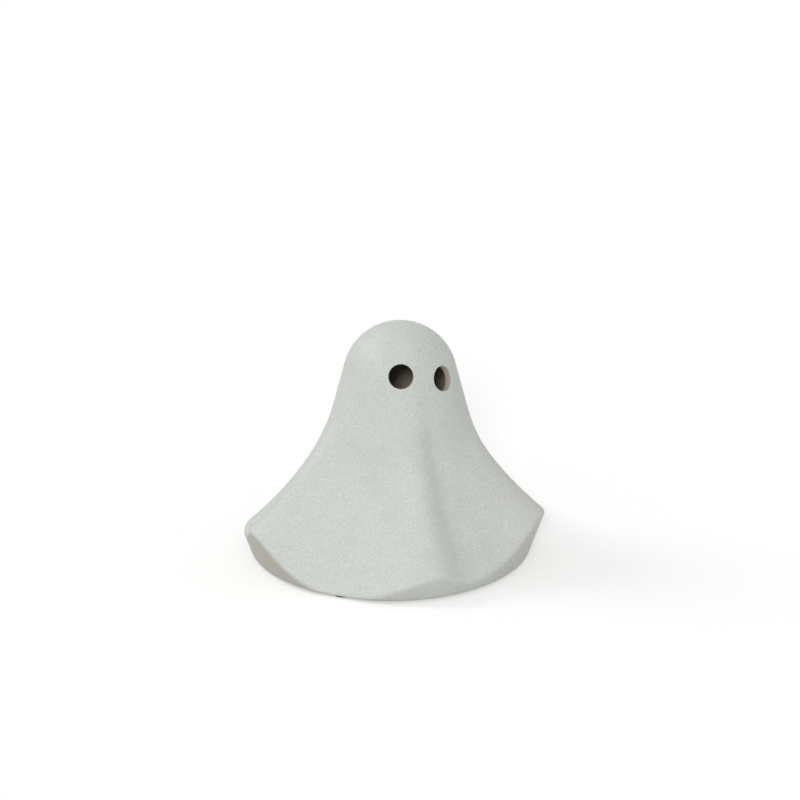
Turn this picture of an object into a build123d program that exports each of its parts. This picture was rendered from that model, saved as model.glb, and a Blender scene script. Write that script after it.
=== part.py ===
"""Ceramic ghost figure: one hollow cast shell on four felt pads.

Millimetres, +Z up, face towards -Y. The origin is on the table under the middle of the foot.
"""

import os
from math import acos, ceil, cos, exp, hypot, pi, radians, remainder, sin, sqrt, tan

from build123d import *

os.makedirs("parts", exist_ok=True)

# Head and bell, heights measured up from the foot face
head_radius = 28.0
top_flat = 1.5
head_height = 87.3
head_x = 4.3
head_y = -2.2
neck_angle = 15.0
neck_length = 27.7
flare_radius = 155.0

# Foot, hem and wall
foot_radius = 70.0
hem_undercut = 18.6
hem_round = 3.0
foot_bevel = 1.0
wall = 4.0
lip_ledge = 4.4
lip_thick = 4.5
lip_round = 1.2

# Folds and how far each would reach at foot level, with left and right as seen from the front.
# Corners start a drop below the middle of the dome, creases a rise above it.
corner_drop = 14.0
corner_power = 1.58
left_corner = 21.0
right_corner = 44.7
front_swell = 7.3
back_right_corner = 22.0
back_corner = 12.7
crease_rise = 6.8
crease_power = 1.25
crease_lean = 1.9
front_ridge = 8.2
front_valley = 5.0
left_pleat = 20.0
left_valley = 4.3
inner_share = 0.85

# Each fold's direction from the face in degrees towards +X, reach, and half spread to its left and right
corner_folds = [
    (-98.0, left_corner, 23.5, 23.5),
    (45.3, right_corner, 11.3, 11.3),
    (4.3, front_swell, 16.0, 16.0),
    (110.0, back_right_corner, 20.0, 20.0),
    (-170.0, back_corner, 20.0, 20.0),
]
front_creases = [(-11.4, front_ridge, 12.6, 6.7), (1.8, -front_valley, 5.5, 8.9)]
side_creases = [(-86.3, left_pleat, 5.6, 7.8), (-51.0, -left_valley, 10.5, 10.5)]

# Eye holes, each with its axis leaving the head axis a little above or below the middle of the dome
left_eye_angle = -23.3
left_eye_lift = 1.0
left_eye_diameter = 11.7
right_eye_angle = 25.1
right_eye_drop = 3.1
right_eye_diameter = 12.0
eye_rise = 17.5
eye_round = 0.6
eyes = [
    (left_eye_angle, head_height + left_eye_lift, left_eye_diameter),
    (right_eye_angle, head_height - right_eye_drop, right_eye_diameter),
]

# Pads
pad_diameter = 10.0
pad_thick = 1.0
pad_edge_gap = 2.5
pad_directions = [-45.0, 45.0, 135.0, -135.0]

# Sections of the lofts
hem_zone = 30.0
hem_step = 3.0
body_step = 9.0
dome_step = 15.0
points_around = 90


def growth(height, start, power):
    """Share of a fold's reach at a height above the foot face."""
    return max((start - height) / start, 0.0) ** power


def bump(angle, direction, reach, left_spread, right_spread):
    """Rounded fold that is highest in one direction and dies away to both sides."""
    off = remainder(angle - radians(direction), 2.0 * pi)
    spread = left_spread if off < 0.0 else right_spread
    return reach * exp((cos(off) - 1.0) / radians(spread) ** 2)


def folds(angle, height):
    """How far the folds push the cloth out at an angle and a height."""
    crease_start = head_height + crease_rise
    corners = sum(bump(angle, *fold) for fold in corner_folds)
    lean = radians(crease_lean) * growth(height, crease_start, 1.0)
    creases = sum(bump(angle - lean, *fold) for fold in front_creases)
    creases += sum(bump(angle, *fold) for fold in side_creases)
    return (
        growth(height, head_height - corner_drop, corner_power) * corners
        + growth(height, crease_start, crease_power) * creases
    )


def bell(height, inset):
    """Radius of the plain bell: dome, straight neck, then a hollow flare."""
    tilt = radians(neck_angle)
    dome_radius = head_radius - inset
    neck_top = head_height + dome_radius * sin(tilt)
    flare_top = neck_top - neck_length * cos(tilt)
    if height > neck_top:
        return sqrt(max(dome_radius**2 - (height - head_height) ** 2, 0.0))
    if height > flare_top:
        return dome_radius * cos(tilt) + (neck_top - height) * tan(tilt)
    bend = flare_radius + inset
    slope = sin(tilt) + (flare_top - height) / bend
    start = dome_radius * cos(tilt) + neck_length * sin(tilt)
    return start + bend * (cos(tilt) - sqrt(1.0 - slope**2))


def foot(angle):
    """Radius of the round foot as seen from the head axis."""
    along = head_y * cos(angle) - head_x * sin(angle)
    return along + sqrt(foot_radius**2 - head_x**2 - head_y**2 + along**2)


def soft_min(a, b, blend):
    """Smaller of two radii, rounded over where they meet."""
    share = min(max(0.5 + 0.5 * (b - a) / blend, 0.0), 1.0)
    return b * (1.0 - share) + a * share - blend * share * (1.0 - share)


def skin_radius(angle, height, inset):
    """Radius of the shell's skin, or of its inside when inset by the wall."""
    follow = inner_share if inset else 1.0
    cloth = bell(height, inset) + follow * folds(angle, height)
    undercut = radians(hem_undercut)
    cut = foot(angle) - inset / cos(undercut) + height * tan(undercut)
    edge = 0.0 if inset else max(foot_bevel - height, 0.0)
    return soft_min(cloth, cut, hem_round) - edge


def outline(height, inset):
    """Points around the skin at one height, starting at the back."""
    points = []
    for i in range(points_around):
        angle = pi + 2.0 * pi * i / points_around
        radius = skin_radius(angle, height, inset)
        points.append((head_x + radius * sin(angle), head_y - radius * cos(angle)))
    return points


def section(height, inset):
    """Closed face of the skin at one height, with the same even spacing at every height."""
    spacing = [i / points_around for i in range(points_around + 1)]
    with BuildSketch(Plane.XY.offset(pad_thick + height)) as ring:
        with BuildLine():
            add(Edge.make_spline(outline(height, inset), periodic=True, parameters=spacing))
        make_face()
    return ring.sketch


def steps(low, high, step):
    """Evenly spaced heights from low up to, not including, high."""
    count = ceil((high - low) / step)
    return [low + (high - low) * i / count for i in range(count)]


def skin_sections(inset):
    """Sections from the foot bevel, or from the lip inside, over the dome to the small flat on its top."""
    dome_radius = head_radius - inset
    dome_start = radians(neck_angle)
    heights = steps(lip_thick if inset else foot_bevel, hem_zone, hem_step)
    heights += steps(hem_zone, head_height + dome_radius * sin(dome_start), body_step)
    dome_end = acos(top_flat / dome_radius)
    for angle in [*steps(dome_start, dome_end, radians(dome_step)), dome_end]:
        heights.append(head_height + dome_radius * sin(angle))
    return [section(height, inset) for height in heights]


# Shell: the draped sheet, hollow and open below, with both eyes cut through
outer_sections = skin_sections(0.0)
bevel_sections = [section(0.0, 0.0), section(foot_bevel, 0.0)]
inner_sections = skin_sections(wall)
mouth_radius = min(hypot(x, y) for x, y in outline(lip_thick, wall)) - lip_ledge
with BuildPart() as shell:
    loft(outer_sections)
    loft(bevel_sections, ruled=True)
    loft(inner_sections, mode=Mode.SUBTRACT)
    with BuildSketch(Plane.XY.offset(pad_thick)):
        Circle(mouth_radius)
    extrude(amount=lip_thick, mode=Mode.SUBTRACT)
    fillet(shell.edges(Select.LAST).filter_by(GeomType.CIRCLE), lip_round)
    for direction, axis_height, diameter in eyes:
        turn = radians(direction)
        rise = radians(eye_rise)
        outward = (sin(turn) * cos(rise), -cos(turn) * cos(rise), sin(rise))
        with BuildSketch(Plane((head_x, head_y, pad_thick + axis_height), z_dir=outward)):
            Circle(diameter / 2)
        extrude(amount=1.5 * head_radius, mode=Mode.SUBTRACT)
        fillet(shell.edges(Select.LAST).filter_by(GeomType.LINE, reverse=True), eye_round)
shell.part.label = "shell"
export_step(shell.part, "parts/shell.step")

# Pads: felt discs under the foot lip
pad_circle = foot_radius - pad_edge_gap - pad_diameter / 2
for number, direction in enumerate(pad_directions, start=1):
    turn = radians(direction)
    with BuildPart() as pad:
        with BuildSketch():
            with Locations((pad_circle * sin(turn), -pad_circle * cos(turn))):
                Circle(pad_diameter / 2)
        extrude(amount=pad_thick)
    pad.part.label = f"pad_{number}"
    export_step(pad.part, f"parts/pad_{number}.step")
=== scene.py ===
"""Looks of the ceramic ghost figure: glazed sheet, bare clay inside, felt pads and a plain studio.

Metres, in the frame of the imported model: +Z up, face towards -Y. Sizes of the figure are in millimetres
and are turned to metres where a mesh or a pattern is made.
"""

import logging
from collections.abc import Callable, Sequence
from dataclasses import dataclass, field
from enum import Enum
from math import atan2, ceil, cos, exp, hypot, pi, radians, remainder, sin, sqrt, tan

import bmesh
import bpy
from bmesh.types import BMEdge, BMesh, BMFace, BMVert
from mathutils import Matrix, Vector


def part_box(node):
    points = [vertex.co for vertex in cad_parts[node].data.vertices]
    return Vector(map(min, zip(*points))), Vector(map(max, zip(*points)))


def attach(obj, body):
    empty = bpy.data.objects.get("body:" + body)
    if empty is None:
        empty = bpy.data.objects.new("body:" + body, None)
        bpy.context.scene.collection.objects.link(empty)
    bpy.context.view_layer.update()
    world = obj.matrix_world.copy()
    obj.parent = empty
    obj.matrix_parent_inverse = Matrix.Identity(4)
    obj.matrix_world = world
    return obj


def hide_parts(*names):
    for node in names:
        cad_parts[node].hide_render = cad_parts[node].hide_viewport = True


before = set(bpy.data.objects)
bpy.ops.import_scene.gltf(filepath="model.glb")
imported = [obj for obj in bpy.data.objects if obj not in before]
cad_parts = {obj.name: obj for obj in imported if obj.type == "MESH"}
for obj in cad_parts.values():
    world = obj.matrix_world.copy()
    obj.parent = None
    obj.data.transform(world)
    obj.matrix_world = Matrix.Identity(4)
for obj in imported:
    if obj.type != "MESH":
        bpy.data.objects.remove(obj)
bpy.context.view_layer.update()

MM = 0.001
BODY = "root"
WHITE = (1.0, 1.0, 1.0, 1.0)

# Sockets of a colour Mix node, whose names are shared with its other types
MIX_A, MIX_B, MIX_RESULT = 6, 7, 2

# A quarter circle in four steps, for small roundings
QUARTER = tuple(pi / 8.0 * step for step in range(5))

# Points closer than this are one
WELD = 0.001 * MM

log = logging.getLogger("ghost")


class Surface(Enum):
    """Material slots of the shell's mesh."""

    GLAZE = 0
    CLAY = 1


class Skin(Enum):
    """The two faces of the cast wall, with the way from each into the clay along an eye's axis."""

    OUTSIDE = -1.0
    INSIDE = 1.0


def linear(hex_colour: str) -> tuple[float, float, float, float]:
    """Turns an sRGB hex colour into linear values.

    Args:
        hex_colour: six hex digits with a leading hash.

    Returns:
        Linear red, green, blue and an alpha of one.
    """
    parts = [int(hex_colour[i : i + 2], 16) / 255.0 for i in (1, 3, 5)]
    red, green, blue = (c / 12.92 if c <= 0.04045 else ((c + 0.055) / 1.055) ** 2.4 for c in parts)
    return red, green, blue, 1.0


def cell_scale(size: float) -> float:
    """Returns the scale at which a pattern's cells have a size in millimetres."""
    return 1.0 / (size * MM)


def add_node(
    tree: bpy.types.NodeTree, kind: str, inputs: dict | None = None, **settings: object
) -> bpy.types.Node:
    """Adds a node with its settings and links.

    Args:
        tree: the node tree that gets the node.
        kind: Blender's name of the node type.
        inputs: a value, or an output socket to link, for each input by name or number.
        settings: properties of the node.

    Returns:
        The new node.
    """
    node = tree.nodes.new(kind)
    for name, value in settings.items():
        setattr(node, name, value)
    for name, value in (inputs or {}).items():
        if isinstance(value, bpy.types.NodeSocket):
            tree.links.new(value, node.inputs[name])
        else:
            node.inputs[name].default_value = value
    return node


def new_material(name: str) -> tuple[bpy.types.Material, bpy.types.NodeTree]:
    """Makes an empty node material.

    Args:
        name: what the material is and how it was made.

    Returns:
        The material and its cleared node tree.
    """
    material = bpy.data.materials.new(name)
    material.use_nodes = True
    material.node_tree.nodes.clear()
    return material, material.node_tree


def finish_mesh(bm: BMesh, name: str, materials: Sequence[bpy.types.Material]) -> bpy.types.Object:
    """Turns a finished bmesh into an object of the scene.

    Args:
        bm: the mesh, in metres, which is freed.
        name: name of the object and its mesh.
        materials: its material slots in order.

    Returns:
        The object, at the origin.
    """
    mesh = bpy.data.meshes.new(name)
    bm.to_mesh(mesh)
    bm.free()
    for material in materials:
        mesh.materials.append(material)
    piece = bpy.data.objects.new(name, mesh)
    bpy.context.scene.collection.objects.link(piece)
    return piece


def walk(edges: Sequence[BMEdge]) -> list[BMVert]:
    """Puts the corners of one closed loop of edges in order.

    Args:
        edges: the loop's edges in any order.

    Returns:
        Its corners, one after another, from the first edge on.
    """
    left = set(edges[1:])
    loop = list(edges[0].verts)
    while left:
        edge = next(item for item in loop[-1].link_edges if item in left)
        left.remove(edge)
        loop.append(edge.other_vert(loop[-1]))
    return loop[:-1]


def even_out(angles: Sequence[float], passes: int = 4) -> list[float]:
    """Spreads angles round a circle so that no two lie close together.

    Args:
        angles: angles in radians, in order round the circle one way or the other.
        passes: how often each angle moves towards the middle of its neighbours.

    Returns:
        The spread angles.
    """
    steps = [(b - a + pi) % (2.0 * pi) - pi for a, b in zip(angles, [*angles[1:], angles[0]])]
    for _ in range(passes):
        after = [*steps[1:], steps[0]]
        before = [steps[-1], *steps[:-1]]
        steps = [(a + 2.0 * b + c) / 4.0 for a, b, c in zip(before, steps, after)]
    spread = [angles[0]]
    for step in steps[:-1]:
        spread.append(spread[-1] + step)
    return spread


@dataclass(frozen=True)
class SandyGlaze:
    """Stoneware glaze, sprayed with fine sand: a pale sage skin with a faint sheen and a pebbled, dry touch.

    Patterns and places are in millimetres, and a cell of the grain holds sand of about half its size. The
    warm tint starts at the first and is full at the second of each of its places. The cut under the hem gets
    a painted shade, darkest at the first place, and at the second only the least share of it is shaded.
    """

    name: str = "stoneware_glaze_sprayed_matt_sandy"
    body: str = "#d0d5d0"
    cool: str = "#ccd1cb"
    warm: str = "#d3d1c8"
    # painted shade for the cut under the hem
    cut_shade: str = "#b9b7ac"
    grain: float = 0.8
    pebble: float = 1.5
    mottle: float = 16.0
    relief: float = 0.25
    warm_across: tuple[float, float] = (15.0, 60.0)
    warm_down: tuple[float, float] = (80.0, 30.0)
    # painted shade under the hem: full at the first place, least share from the second on
    cut_shade_across: tuple[float, float] = (-60.0, -10.0)
    cut_shade_least: float = 0.1
    roughness: float = 0.52
    cut_attribute: str = "hem_cut"

    def material(self) -> bpy.types.Material:
        """Builds the node material.

        Returns:
            The glaze, with its grain and mottling scaled from millimetres.
        """
        material, tree = new_material(self.name)
        place = add_node(tree, "ShaderNodeTexCoord").outputs["Object"]
        grain = add_node(
            tree,
            "ShaderNodeTexNoise",
            {"Vector": place, "Scale": cell_scale(self.grain), "Detail": 2.0, "Roughness": 0.6},
        )
        pebble = add_node(
            tree,
            "ShaderNodeTexVoronoi",
            {"Vector": place, "Scale": cell_scale(self.pebble), "Smoothness": 0.6},
            feature="SMOOTH_F1",
        )
        relief = add_node(
            tree,
            "ShaderNodeMath",
            {0: pebble.outputs["Distance"], 1: 0.5, 2: grain.outputs["Fac"]},
            operation="MULTIPLY_ADD",
        )
        bump = add_node(
            tree,
            "ShaderNodeBump",
            {"Height": relief.outputs["Value"], "Strength": 0.6, "Distance": self.relief * MM},
        )
        shader = add_node(
            tree,
            "ShaderNodeBsdfPrincipled",
            {
                "Base Color": self.colour(tree, place, grain.outputs["Fac"]),
                "Roughness": self.roughness,
                "IOR": 1.5,
                "Specular IOR Level": 0.5,
                "Normal": bump.outputs["Normal"],
            },
        )
        add_node(tree, "ShaderNodeOutputMaterial", {"Surface": shader.outputs["BSDF"]})
        return material

    def colour(
        self,
        tree: bpy.types.NodeTree,
        place: bpy.types.NodeSocket,
        grain: bpy.types.NodeSocket,
    ) -> bpy.types.NodeSocket:
        """Mixes the body colour with its tints and with painted shade under the hem, and strews it with
        sand.

        Args:
            tree: the glaze's node tree.
            place: object coordinates.
            grain: fine noise of the sand.

        Returns:
            The colour.
        """
        mottle = add_node(
            tree,
            "ShaderNodeTexNoise",
            {"Vector": place, "Scale": cell_scale(self.mottle), "Detail": 3.0, "Roughness": 0.55},
        )
        cool_share = add_node(
            tree,
            "ShaderNodeMapRange",
            {"Value": mottle.outputs["Fac"], "From Min": 0.42, "From Max": 0.66},
        )
        tints = (
            (cool_share.outputs["Result"], self.cool),
            (self.warm_share(tree, place, mottle.outputs["Fac"]), self.warm),
            # painted shade in the cut under the hem
            (self.cut_shade_share(tree, place), self.cut_shade),
        )
        mixed = linear(self.body)
        for share, tint in tints:
            mix = add_node(
                tree, "ShaderNodeMix", {0: share, MIX_A: mixed, MIX_B: linear(tint)}, data_type="RGBA"
            )
            mixed = mix.outputs[MIX_RESULT]
        sand = add_node(
            tree,
            "ShaderNodeMapRange",
            {"Value": grain, "From Min": 0.3, "From Max": 0.7, "To Min": 0.88, "To Max": 1.1},
        )
        sanded = add_node(
            tree, "ShaderNodeVectorMath", {0: mixed, "Scale": sand.outputs["Result"]}, operation="SCALE"
        )
        return sanded.outputs["Vector"]

    def warm_share(
        self,
        tree: bpy.types.NodeTree,
        place: bpy.types.NodeSocket,
        mottle: bpy.types.NodeSocket,
    ) -> bpy.types.NodeSocket:
        """Finds where the spray lies thin on the lower right and the warm clay shows through.

        Args:
            tree: the glaze's node tree.
            place: object coordinates.
            mottle: uneven spray.

        Returns:
            Share of the warm colour, from zero to one.
        """
        axes = add_node(tree, "ShaderNodeSeparateXYZ", {0: place}).outputs
        across, down = (
            add_node(
                tree,
                "ShaderNodeMapRange",
                {"Value": axes[axis], "From Min": start * MM, "From Max": full * MM},
            )
            for axis, (start, full) in (("X", self.warm_across), ("Z", self.warm_down))
        )
        both = add_node(
            tree,
            "ShaderNodeMath",
            {0: across.outputs["Result"], 1: down.outputs["Result"]},
            operation="MULTIPLY",
        )
        uneven = add_node(tree, "ShaderNodeMath", {0: mottle, 1: 1.2}, operation="MULTIPLY")
        share = add_node(
            tree,
            "ShaderNodeMath",
            {0: both.outputs["Value"], 1: uneven.outputs["Value"]},
            operation="MULTIPLY",
            use_clamp=True,
        )
        return share.outputs["Value"]

    def cut_shade_share(self, tree: bpy.types.NodeTree, place: bpy.types.NodeSocket) -> bpy.types.NodeSocket:
        """Paints shade into the cut under the hem, most of all on the left.

        Args:
            tree: the glaze's node tree.
            place: object coordinates.

        Returns:
            Share of the painted shade, from zero to one.
        """
        axes = add_node(tree, "ShaderNodeSeparateXYZ", {0: place}).outputs
        darkest, whole = self.cut_shade_across
        most = add_node(
            tree,
            "ShaderNodeMapRange",
            {
                "Value": axes["X"],
                "From Min": darkest * MM,
                "From Max": whole * MM,
                "To Min": 1.0,
                "To Max": self.cut_shade_least,
            },
        )
        cut = add_node(tree, "ShaderNodeAttribute", attribute_name=self.cut_attribute)
        share = add_node(
            tree,
            "ShaderNodeMapRange",
            {
                "Value": cut.outputs["Fac"],
                "From Min": 0.35,
                "From Max": 0.8,
                "To Max": most.outputs["Result"],
            },
        )
        return share.outputs["Result"]


@dataclass(frozen=True)
class BareClay:
    """Bisque stoneware, cast and left unglazed: a dry warm grey with fine grog."""

    name: str = "stoneware_clay_cast_unglazed"
    body: str = "#cac3b3"
    dark: str = "#aea696"
    grog: float = 0.8
    cloud: float = 12.0
    relief: float = 0.15
    roughness: float = 0.92

    def material(self) -> bpy.types.Material:
        """Builds the node material.

        Returns:
            The clay, with its grog scaled from millimetres.
        """
        material, tree = new_material(self.name)
        place = add_node(tree, "ShaderNodeTexCoord").outputs["Object"]
        grog = add_node(
            tree,
            "ShaderNodeTexNoise",
            {"Vector": place, "Scale": cell_scale(self.grog), "Detail": 3.0, "Roughness": 0.6},
        )
        cloud = add_node(
            tree,
            "ShaderNodeTexNoise",
            {"Vector": place, "Scale": cell_scale(self.cloud), "Detail": 2.0},
        )
        blend = add_node(
            tree,
            "ShaderNodeMath",
            {0: grog.outputs["Fac"], 1: cloud.outputs["Fac"]},
            operation="MULTIPLY",
        )
        colour = add_node(
            tree,
            "ShaderNodeMix",
            {0: blend.outputs["Value"], MIX_A: linear(self.body), MIX_B: linear(self.dark)},
            data_type="RGBA",
        )
        bump = add_node(
            tree,
            "ShaderNodeBump",
            {"Height": grog.outputs["Fac"], "Strength": 0.5, "Distance": self.relief * MM},
        )
        shader = add_node(
            tree,
            "ShaderNodeBsdfPrincipled",
            {
                "Base Color": colour.outputs[MIX_RESULT],
                "Roughness": self.roughness,
                "IOR": 1.5,
                "Specular IOR Level": 0.2,
                "Normal": bump.outputs["Normal"],
            },
        )
        add_node(tree, "ShaderNodeOutputMaterial", {"Surface": shader.outputs["BSDF"]})
        return material


@dataclass(frozen=True)
class PressedFelt:
    """Wool felt, pressed and die-cut: a dull near-black mat of short tangled fibres.

    The fibres are drawn coarser than real ones, so that they show.
    """

    name: str = "wool_felt_pressed"
    body: str = "#2a2725"
    light: str = "#4a4642"
    fibre: float = 0.5
    relief: float = 0.2
    roughness: float = 1.0

    def material(self) -> bpy.types.Material:
        """Builds the node material.

        Returns:
            The felt, with its fibres scaled from millimetres.
        """
        material, tree = new_material(self.name)
        place = add_node(tree, "ShaderNodeTexCoord").outputs["Object"]
        fibre = add_node(
            tree,
            "ShaderNodeTexNoise",
            {"Vector": place, "Scale": cell_scale(self.fibre), "Detail": 4.0, "Distortion": 1.5},
        )
        colour = add_node(
            tree,
            "ShaderNodeMix",
            {0: fibre.outputs["Fac"], MIX_A: linear(self.body), MIX_B: linear(self.light)},
            data_type="RGBA",
        )
        bump = add_node(
            tree,
            "ShaderNodeBump",
            {"Height": fibre.outputs["Fac"], "Strength": 0.8, "Distance": self.relief * MM},
        )
        shader = add_node(
            tree,
            "ShaderNodeBsdfPrincipled",
            {
                "Base Color": colour.outputs[MIX_RESULT],
                "Roughness": self.roughness,
                "Specular IOR Level": 0.1,
                "Sheen Weight": 0.3,
                "Normal": bump.outputs["Normal"],
            },
        )
        add_node(tree, "ShaderNodeOutputMaterial", {"Surface": shader.outputs["BSDF"]})
        return material


@dataclass(frozen=True)
class Fold:
    """One fold of the sheet: direction from the face, reach, and half spread to its left and right.

    The reach is in millimetres at the foot, the others are in degrees.
    """

    direction: float
    reach: float
    left_spread: float
    right_spread: float

    def push(self, angle: float) -> float:
        """Gives how far the fold pushes the sheet out at full growth.

        Args:
            angle: angle from the face in radians.

        Returns:
            The push in millimetres.
        """
        off = remainder(angle - radians(self.direction), 2.0 * pi)
        spread = self.left_spread if off < 0.0 else self.right_spread
        return self.reach * exp((cos(off) - 1.0) / radians(spread) ** 2)


@dataclass(frozen=True)
class DrapedForm:
    """Shape of the draped sheet in millimetres and degrees.

    Heights are measured up from the foot face and angles round the head axis, from the face towards +X.
    """

    head_radius: float = 28.0
    head_height: float = 87.3
    head_x: float = 4.3
    head_y: float = -2.2
    neck_angle: float = 15.0
    neck_length: float = 27.7
    flare_radius: float = 155.0
    foot_radius: float = 70.0
    hem_undercut: float = 18.6
    hem_round: float = 3.0
    foot_round: float = 1.0
    wall: float = 4.0
    inner_share: float = 0.85
    corner_start: float = 73.3
    corner_power: float = 1.58
    corners: tuple[Fold, ...] = (
        Fold(-98.0, 21.0, 23.5, 23.5),
        Fold(45.3, 44.7, 11.3, 11.3),
        Fold(4.3, 7.3, 16.0, 16.0),
        Fold(110.0, 22.0, 20.0, 20.0),
        Fold(-170.0, 12.7, 20.0, 20.0),
    )
    crease_start: float = 94.1
    crease_power: float = 1.25
    crease_lean: float = 1.9
    front_creases: tuple[Fold, ...] = (Fold(-11.4, 8.2, 12.6, 6.7), Fold(1.8, -5.0, 5.5, 8.9))
    side_creases: tuple[Fold, ...] = (Fold(-86.3, 20.0, 5.6, 7.8), Fold(-51.0, -4.3, 10.5, 10.5))
    pad_thick: float = 1.0

    def folds(self, angle: float, height: float) -> float:
        """Adds up what the folds push the sheet out.

        Args:
            angle: angle from the face in radians.
            height: height above the foot face.

        Returns:
            The push in millimetres.
        """
        corner_growth = max(1.0 - height / self.corner_start, 0.0) ** self.corner_power
        crease_share = max(1.0 - height / self.crease_start, 0.0)
        leaned = angle - radians(self.crease_lean) * crease_share
        creases = sum(fold.push(leaned) for fold in self.front_creases)
        creases += sum(fold.push(angle) for fold in self.side_creases)
        corners = sum(fold.push(angle) for fold in self.corners)
        return corner_growth * corners + crease_share**self.crease_power * creases

    def bell(self, height: float, inset: float) -> float:
        """Gives the plain bell without folds: dome, straight neck, then a hollow flare.

        Args:
            height: height above the foot face.
            inset: how far inside the outer skin.

        Returns:
            The radius in millimetres.
        """
        tilt = radians(self.neck_angle)
        dome = self.head_radius - inset
        neck_top = self.head_height + dome * sin(tilt)
        flare_top = neck_top - self.neck_length * cos(tilt)
        if height > neck_top:
            return sqrt(max(dome**2 - (height - self.head_height) ** 2, 0.0))
        if height > flare_top:
            return dome * cos(tilt) + (neck_top - height) * tan(tilt)
        bend = self.flare_radius + inset
        slope = sin(tilt) + (flare_top - height) / bend
        return dome * cos(tilt) + self.neck_length * sin(tilt) + bend * (cos(tilt) - sqrt(1.0 - slope**2))

    def foot(self, angle: float) -> float:
        """Returns the radius of the round foot as seen from the head axis."""
        along = self.head_y * cos(angle) - self.head_x * sin(angle)
        return along + sqrt(self.foot_radius**2 - self.head_x**2 - self.head_y**2 + along**2)

    def skin(self, angle: float, height: float, inset: float) -> tuple[float, float]:
        """Gives the skin where the sheet meets the cut that runs in under the hem.

        Args:
            angle: angle from the face in radians.
            height: height above the foot face.
            inset: zero outside, the wall inside.

        Returns:
            The radius in millimetres, and the share of the sheet from zero in the cut to one above the hem.
        """
        sheet = self.bell(height, inset) + (self.inner_share if inset else 1.0) * self.folds(angle, height)
        undercut = radians(self.hem_undercut)
        cut = self.foot(angle) - inset / cos(undercut) + height * tan(undercut)
        share = min(max(0.5 + 0.5 * (cut - sheet) / self.hem_round, 0.0), 1.0)
        met = cut * (1.0 - share) + sheet * share - self.hem_round * share * (1.0 - share)
        edge = 0.0 if inset else max(self.foot_round - height, 0.0)
        return met - self.foot_round + sqrt(self.foot_round**2 - edge**2), share

    def point(self, angle: float, height: float, inset: float) -> Vector:
        """Gives a point of the skin.

        Args:
            angle: angle from the face in radians.
            height: height above the foot face.
            inset: zero outside, the wall inside.

        Returns:
            The point in metres.
        """
        radius = self.skin(angle, height, inset)[0]
        x = self.head_x + radius * sin(angle)
        y = self.head_y - radius * cos(angle)
        return Vector((x, y, self.pad_thick + height)) * MM

    def turn(self, point: Vector) -> float:
        """Returns the angle from the face at which a point in metres lies round the head axis."""
        return atan2(point.x / MM - self.head_x, self.head_y - point.y / MM)

    def clearance(self, point: Vector, inset: float) -> float:
        """Says how far a point lies outside the skin, level with it.

        Args:
            point: a point in metres.
            inset: zero outside, the wall inside.

        Returns:
            Millimetres, below zero when the point is within the skin.
        """
        x, y, z = point / MM
        radius = self.skin(self.turn(point), z - self.pad_thick, inset)[0]
        return hypot(x - self.head_x, y - self.head_y) - radius


@dataclass(frozen=True)
class EyeHole:
    """One round hole through the head, in millimetres and degrees.

    The height above the foot face is where its axis leaves the head axis.
    """

    direction: float
    height: float
    diameter: float
    rise: float = 17.5
    rounding: float = 0.6
    halvings: int = 24

    def axes(self) -> tuple[Vector, Vector, Vector]:
        """Gives the hole's own directions.

        Returns:
            Sideways, upwards and outwards unit vectors.
        """
        turn, rise = radians(self.direction), radians(self.rise)
        outward = Vector((sin(turn) * cos(rise), -cos(turn) * cos(rise), sin(rise)))
        sideways = Vector((cos(turn), sin(turn), 0.0))
        return sideways, outward.cross(sideways) * -1.0, outward

    def start(self, form: DrapedForm) -> Vector:
        """Returns where the hole's axis leaves the head axis, in metres."""
        return Vector((form.head_x, form.head_y, form.pad_thick + self.height)) * MM

    def polar(self, form: DrapedForm, point: Vector) -> tuple[float, float, float]:
        """Gives a point in the hole's own measure.

        Args:
            form: the draped shape.
            point: a point in metres.

        Returns:
            Distance from the axis and along it in millimetres, and the angle round it in radians.
        """
        sideways, upwards, outward = self.axes()
        reach = (point - self.start(form)) / MM
        across, up = reach.dot(sideways), reach.dot(upwards)
        return hypot(across, up), reach.dot(outward), atan2(up, across)

    def on_skin(self, form: DrapedForm, radius: float, angle: float, inset: float) -> Vector:
        """Finds where a line along the hole meets a skin.

        Args:
            form: the draped shape.
            radius: distance of the line from the hole's axis in millimetres.
            angle: angle of the line round the axis in radians.
            inset: zero for the outside, the wall for the inside.

        Returns:
            The meeting point in metres.
        """
        sideways, upwards, outward = self.axes()
        base = self.start(form) + (sideways * cos(angle) + upwards * sin(angle)) * radius * MM
        low, high = 0.5 * form.head_radius, 1.4 * form.head_radius
        for _ in range(self.halvings):
            middle = (low + high) / 2.0
            if form.clearance(base + outward * middle * MM, inset) < 0.0:
                low = middle
            else:
                high = middle
        return base + outward * low * MM


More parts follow.
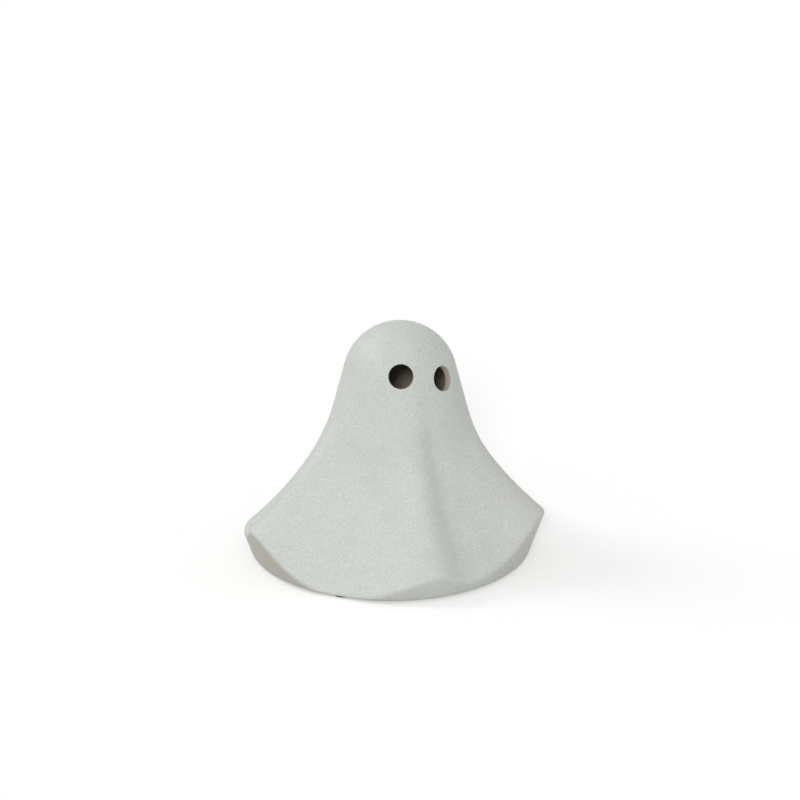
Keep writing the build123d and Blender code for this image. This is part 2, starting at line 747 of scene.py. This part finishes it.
@dataclass
class GhostShell:
    """Cast shell: glazed sheet outside, bare clay inside, inward lip at the foot and both eye holes.

    Sizes are in millimetres. Round each eye, the faces within the land and its slack make room for the rim,
    the rings of faces beyond it are relaxed, and the glaze covers the first steps of the rounding.
    """

    form: DrapedForm = field(default_factory=DrapedForm)
    glaze: SandyGlaze = field(default_factory=SandyGlaze)
    clay: BareClay = field(default_factory=BareClay)
    eyes: tuple[EyeHole, ...] = (EyeHole(-23.3, 88.3, 11.7), EyeHole(25.1, 84.2, 12.0))
    mouth_radius: float = 55.94
    lip_thick: float = 4.5
    lip_round: float = 1.2
    columns: int = 288
    hem_step: float = 0.8
    body_step: float = 1.6
    dome_step: float = 3.0
    hem_zone: float = 32.0
    eye_zone: float = 15.0
    rim_land: float = 0.6
    rim_slack: float = 0.4
    glazed_steps: int = 3
    relaxed_rings: int = 3
    relax_passes: int = 6

    def heights(self, low: float, inset: float) -> list[float]:
        """Lists the heights of a skin's rings, close together at the hem.

        Args:
            low: lowest height in millimetres.
            inset: zero outside, the wall inside.

        Returns:
            Heights from the bottom up to the pole.
        """
        coarse = 2.0 if inset else 1.0  # the inside is hardly seen
        dome = self.form.head_radius - inset
        start = radians(self.form.neck_angle)
        neck_top = self.form.head_height + dome * sin(start)
        found = []
        zones = ((low, self.hem_zone, self.hem_step), (self.hem_zone, neck_top, self.body_step))
        for bottom, top, step in zones:
            count = ceil((top - bottom) / (step * coarse))
            found += [bottom + (top - bottom) * i / count for i in range(count)]
        count = ceil((pi / 2 - start) / radians(self.dome_step * coarse))
        turns = [start + (pi / 2 - start) * i / count for i in range(count + 1)]
        return found + [self.form.head_height + dome * sin(turn) for turn in turns]

    def lip_ring(self, radius: float, height: float) -> Callable[[float], Vector]:
        """Returns a round ring about the middle of the foot, as a function of the angle."""
        z = self.form.pad_thick + height
        return lambda angle: Vector((radius * sin(angle), -radius * cos(angle), z)) * MM

    def skin_ring(self, height: float, inset: float) -> Callable[[float], Vector]:
        """Returns a ring of the skin, as a function of the angle."""
        return lambda angle: self.form.point(angle, height, inset)

    def foot_rings(self) -> list[Callable[[float], Vector]]:
        """Lists the rings of the foot face and the rounded lip.

        Returns:
            Rings from the foot's outer edge inwards, round the lip and out to the inner wall.
        """
        middle, rounding = self.mouth_radius + self.lip_round, self.lip_round
        rings = [self.skin_ring(0.0, 0.0)]
        rings += [self.lip_ring(middle - rounding * sin(t), rounding - rounding * cos(t)) for t in QUARTER]
        high = self.lip_thick - rounding
        rings += [self.lip_ring(middle - rounding * cos(t), high + rounding * sin(t)) for t in QUARTER]
        return rings + [self.skin_ring(self.lip_thick, self.form.wall)]

    def wrap(self, bm: BMesh, rings: Sequence[Callable[[float], Vector]], surface: Surface) -> None:
        """Wraps a flat grid round the figure, one row to a ring.

        Args:
            bm: the mesh that gets the grid.
            rings: each row's points as a function of the angle.
            surface: material slot of the new faces.
        """
        rows = len(rings) - 1
        grid = bmesh.ops.create_grid(bm, x_segments=self.columns, y_segments=rows, size=1.0)
        faces = {face for vert in grid["verts"] for face in vert.link_faces}
        for vert in grid["verts"]:
            ring = rings[round((vert.co.y + 1.0) / 2.0 * rows)]
            vert.co = ring(pi * (vert.co.x + 1.0))
        for face in faces:
            face.material_index = surface.value
            face.smooth = True

    def pierce(self, bm: BMesh, eye: EyeHole, skin: Skin) -> list[BMEdge]:
        """Opens an eye in one skin and rounds its rim into the wall.

        Args:
            bm: the closed shell.
            eye: the hole.
            skin: the outer or the inner face of the wall.

        Returns:
            The edges of the open rim, at the hole's own diameter.
        """
        form = self.form
        surface = Surface.GLAZE if skin is Skin.OUTSIDE else Surface.CLAY
        inset = 0.0 if skin is Skin.OUTSIDE else form.wall
        radius = eye.diameter / 2.0
        landing = radius + eye.rounding + self.rim_land
        outward = eye.axes()[2]
        lowest = (form.head_height - self.eye_zone) * MM
        polar = {vert: eye.polar(form, vert.co) for vert in bm.verts if vert.co.z > lowest}
        reach = landing - self.rim_slack
        inner = {vert for vert, (off, along, _) in polar.items() if off < reach and along > 0.0}
        cut = [
            face
            for face in bm.faces
            if face.material_index == surface.value and not inner.isdisjoint(face.verts)
        ]
        around = {vert for face in cut for vert in face.verts}
        bmesh.ops.delete(bm, geom=cut, context="FACES")
        bm.verts.index_update()
        left = [vert for vert in around if vert.is_valid]
        rim = {edge for vert in left for edge in vert.link_edges if edge.is_boundary}
        edges = sorted(rim, key=lambda edge: sorted(vert.index for vert in edge.verts))
        loop = walk(edges)
        for vert, angle in zip(loop, even_out([eye.polar(form, vert.co)[2] for vert in loop])):
            vert.co = eye.on_skin(form, landing, angle, inset)
        self.relax(bm, loop, inset)
        for number, turn in enumerate(QUARTER):
            grown = bmesh.ops.extrude_edge_only(bm, edges=edges)["geom"]
            edges = [item for item in grown if isinstance(item, BMEdge) and item.is_boundary]
            for vert in (item for item in grown if isinstance(item, BMVert)):
                off = radius + eye.rounding * (1.0 - sin(turn))
                depth = eye.rounding * (1.0 - cos(turn)) * skin.value
                on_skin = eye.on_skin(form, off, eye.polar(form, vert.co)[2], inset)
                vert.co = on_skin + outward * depth * MM
            coat = surface if number < self.glazed_steps else Surface.CLAY
            for face in (item for item in grown if isinstance(item, BMFace)):
                face.material_index = coat.value
                face.smooth = True
        return edges

    def relax(self, bm: BMesh, loop: Sequence[BMVert], inset: float) -> None:
        """Evens out the faces next to an eye, keeping them on the skin.

        Args:
            bm: the shell.
            loop: the hole's edge, which stays.
            inset: zero outside, the wall inside.
        """
        near = set(loop)
        for _ in range(self.relaxed_rings):
            near |= {edge.other_vert(vert) for vert in near for edge in vert.link_edges}
        moving = list(near - set(loop))
        for _ in range(self.relax_passes):
            bmesh.ops.smooth_vert(
                bm, verts=moving, factor=0.5, use_axis_x=True, use_axis_y=True, use_axis_z=True
            )
        axis = Vector((self.form.head_x, self.form.head_y, 0.0)) * MM
        for vert in moving:
            level = Vector((vert.co.x - axis.x, vert.co.y - axis.y, 0.0))
            vert.co -= level.normalized() * self.form.clearance(vert.co, inset) * MM

    def build(self) -> bpy.types.Object:
        """Builds and dresses the shell.

        Returns:
            The shell, in place of the CAD's.
        """
        form, wall = self.form, self.form.wall
        bm = bmesh.new()
        cut_layer = bm.verts.layers.float.new(self.glaze.cut_attribute)
        self.wrap(bm, [self.skin_ring(height, 0.0) for height in self.heights(0.0, 0.0)], Surface.GLAZE)
        self.wrap(bm, self.foot_rings(), Surface.CLAY)
        inner_heights = self.heights(self.lip_thick, wall)
        self.wrap(bm, [self.skin_ring(height, wall) for height in inner_heights], Surface.CLAY)
        bmesh.ops.remove_doubles(bm, verts=bm.verts, dist=WELD)
        for eye in self.eyes:
            rims = self.pierce(bm, eye, Skin.INSIDE) + self.pierce(bm, eye, Skin.OUTSIDE)
            for face in bmesh.ops.bridge_loops(bm, edges=rims)["faces"]:
                face.material_index = Surface.CLAY.value
                face.smooth = True
        bmesh.ops.recalc_face_normals(bm, faces=bm.faces)
        # share of the cut under the hem, which the glaze darkens with painted shade
        for vert in bm.verts:
            height = max(vert.co.z / MM - form.pad_thick, 0.0)
            vert[cut_layer] = 1.0 - form.skin(form.turn(vert.co), height, 0.0)[1]
        log.info("shell: %.1f cubic centimetres of clay", bm.calc_volume(signed=True) * 1e6)
        piece = finish_mesh(bm, "glazed_shell", [self.glaze.material(), self.clay.material()])
        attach(piece, BODY)
        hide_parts("shell")
        return piece


@dataclass
class FeltPads:
    """Four felt discs under the foot."""

    felt: PressedFelt = field(default_factory=PressedFelt)
    nodes: tuple[str, ...] = ("pad_1", "pad_2", "pad_3", "pad_4")
    rounding: float = 0.25
    steps: int = 72

    def build(self) -> list[bpy.types.Object]:
        """Builds and dresses the pads, each where the CAD has it.

        Returns:
            The four pads.
        """
        material = self.felt.material()
        return [self.disc(node, material) for node in self.nodes]

    def disc(self, node: str, material: bpy.types.Material) -> bpy.types.Object:
        """Turns one pad with soft, slightly barrelled edges.

        Args:
            node: the CAD node that the pad stands for.
            material: its felt.

        Returns:
            The pad.
        """
        low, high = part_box(node)
        middle = (low + high) / 2.0
        radius, thick, soft = (high.x - low.x) / 2.0, high.z - low.z, self.rounding * MM
        profile = [
            (0.0, 0.0),
            (radius - 2.0 * soft, 0.0),
            (radius - 0.4 * soft, 0.35 * soft),
            (radius, thick / 2.0),
        ]
        profile += [(r, thick - z) for r, z in reversed(profile[:-1])]
        bm = bmesh.new()
        corners = [bm.verts.new((middle.x + r, middle.y, low.z + z)) for r, z in profile]
        edges = [bm.edges.new(pair) for pair in zip(corners, corners[1:])]
        bmesh.ops.spin(
            bm,
            geom=[*corners, *edges],
            cent=(middle.x, middle.y, 0.0),
            axis=(0.0, 0.0, 1.0),
            angle=2.0 * pi,
            steps=self.steps,
            use_merge=True,
        )
        bmesh.ops.remove_doubles(bm, verts=bm.verts, dist=WELD)
        bmesh.ops.recalc_face_normals(bm, faces=bm.faces)
        for face in bm.faces:
            face.smooth = True
        piece = finish_mesh(bm, f"felt_{node}", [material])
        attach(piece, BODY)
        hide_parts(node)
        return piece


@dataclass(frozen=True)
class Lamp:
    """One far lamp: degrees to the right of the camera and above the table, level and softness.

    The level is what a white surface that faces the lamp shows, the softness its width in degrees.
    """

    name: str
    offset: float
    elevation: float
    level: float
    softness: float


@dataclass
class Studio:
    """Pale floor, even room, two soft lamps and the camera at the photograph's angle.

    Places are in metres. The floor is lifted to white beside the foot, but not inside the bell: the lift
    starts at one distance from the middle of the foot and is full at another.
    """

    azimuth: float = -24.3
    elevation: float = 19.7
    distance: float = 0.921
    lens: float = 84.6
    sensor: float = 36.0
    target: tuple[float, float, float] = (0.0043, -0.0022, 0.0765)
    floor_size: float = 8.0
    floor_colour: str = "#dadad9"
    floor_lift: float = 0.411
    lift_start: float = 0.058
    lift_full: float = 0.068
    surround: float = 0.57
    lamps: tuple[Lamp, ...] = (
        Lamp("side", -106.0, 38.0, 0.22, 24.0),
        Lamp("front", -6.0, 25.0, 0.32, 10.0),
    )

    def towards(self, azimuth: float, elevation: float) -> Vector:
        """Returns the direction from the figure at an azimuth and elevation in degrees."""
        a, e = radians(azimuth), radians(elevation)
        return Vector((sin(a) * cos(e), -cos(a) * cos(e), sin(e)))

    def shown(self, tree: bpy.types.NodeTree) -> bpy.types.NodeSocket:
        """Finds the rays that show a surface in the picture rather than light another one.

        Args:
            tree: the node tree that asks.

        Returns:
            One for camera, mirrored and refracted rays, zero for the rest.
        """
        path = add_node(tree, "ShaderNodeLightPath").outputs
        seen = add_node(
            tree,
            "ShaderNodeMath",
            {0: path["Is Camera Ray"], 1: path["Is Glossy Ray"]},
            operation="MAXIMUM",
        )
        both = add_node(
            tree,
            "ShaderNodeMath",
            {0: seen.outputs["Value"], 1: path["Is Transmission Ray"]},
            operation="MAXIMUM",
        )
        return both.outputs["Value"]

    def floor(self) -> None:
        """Lays the floor that the figure stands on, lifted to white where it is seen beside the foot."""
        bm = bmesh.new()
        bmesh.ops.create_grid(bm, x_segments=1, y_segments=1, size=self.floor_size / 2.0)
        material, tree = new_material("paper_sweep_matt")
        place = add_node(tree, "ShaderNodeTexCoord").outputs["Object"]
        reach = add_node(tree, "ShaderNodeVectorMath", {0: place}, operation="LENGTH")
        clear = add_node(
            tree,
            "ShaderNodeMapRange",
            {
                "Value": reach.outputs["Value"],
                "From Min": self.lift_start,
                "From Max": self.lift_full,
                "To Max": self.floor_lift,
            },
        )
        lift = add_node(
            tree, "ShaderNodeMath", {0: self.shown(tree), 1: clear.outputs["Result"]}, operation="MULTIPLY"
        )
        shader = add_node(
            tree,
            "ShaderNodeBsdfPrincipled",
            {
                "Base Color": linear(self.floor_colour),
                "Roughness": 0.9,
                "Specular IOR Level": 0.0,
                "Emission Color": WHITE,
                "Emission Strength": lift.outputs["Value"],
            },
        )
        add_node(tree, "ShaderNodeOutputMaterial", {"Surface": shader.outputs["BSDF"]})
        finish_mesh(bm, "floor", [material])

    def surroundings(self) -> None:
        """Lights the room evenly and shows it white behind the figure."""
        world = bpy.data.worlds.new("studio")
        bpy.context.scene.world = world
        world.use_nodes = True
        tree = world.node_tree
        tree.nodes.clear()
        soft = add_node(tree, "ShaderNodeBackground", {"Color": WHITE, "Strength": self.surround})
        white = add_node(tree, "ShaderNodeBackground", {"Color": WHITE, "Strength": 1.0})
        mix = add_node(
            tree,
            "ShaderNodeMixShader",
            {0: self.shown(tree), 1: soft.outputs["Background"], 2: white.outputs["Background"]},
        )
        add_node(tree, "ShaderNodeOutputWorld", {"Surface": mix.outputs["Shader"]})

    def hang(self, lamp: Lamp) -> None:
        """Hangs one far, soft lamp that points at the figure.

        Args:
            lamp: where it hangs and how bright and soft it is.
        """
        data = bpy.data.lights.new(lamp.name, "SUN")
        data.energy, data.angle = lamp.level * pi, radians(lamp.softness)
        piece = bpy.data.objects.new(lamp.name, data)
        back = self.towards(self.azimuth + lamp.offset, lamp.elevation)
        piece.location = Vector(self.target) + back
        piece.rotation_euler = (-back).to_track_quat("-Z", "Y").to_euler()
        bpy.context.scene.collection.objects.link(piece)

    def camera(self) -> None:
        """Sets up the camera at the photograph's angle."""
        data = bpy.data.cameras.new("camera")
        data.lens, data.sensor_width = self.lens, self.sensor
        camera = bpy.data.objects.new("camera", data)
        back = self.towards(self.azimuth, self.elevation)
        camera.location = Vector(self.target) + back * self.distance
        camera.rotation_euler = (-back).to_track_quat("-Z", "Y").to_euler()
        bpy.context.scene.collection.objects.link(camera)
        bpy.context.scene.camera = camera

    def build(self) -> None:
        """Builds the whole studio."""
        self.floor()
        self.surroundings()
        for lamp in self.lamps:
            self.hang(lamp)
        self.camera()
        bpy.context.scene.view_settings.view_transform = "Standard"


def main() -> None:
    """Builds the figure and its studio, and reports each piece."""
    logging.basicConfig(level=logging.INFO, format="%(name)s: %(message)s")
    pieces = [GhostShell().build(), *FeltPads().build()]
    for piece in pieces:
        faces = piece.data.polygons
        log.info("%s: %d triangles", piece.name, sum(len(face.vertices) - 2 for face in faces))
    Studio().build()


if __name__ == "__main__":
    main()
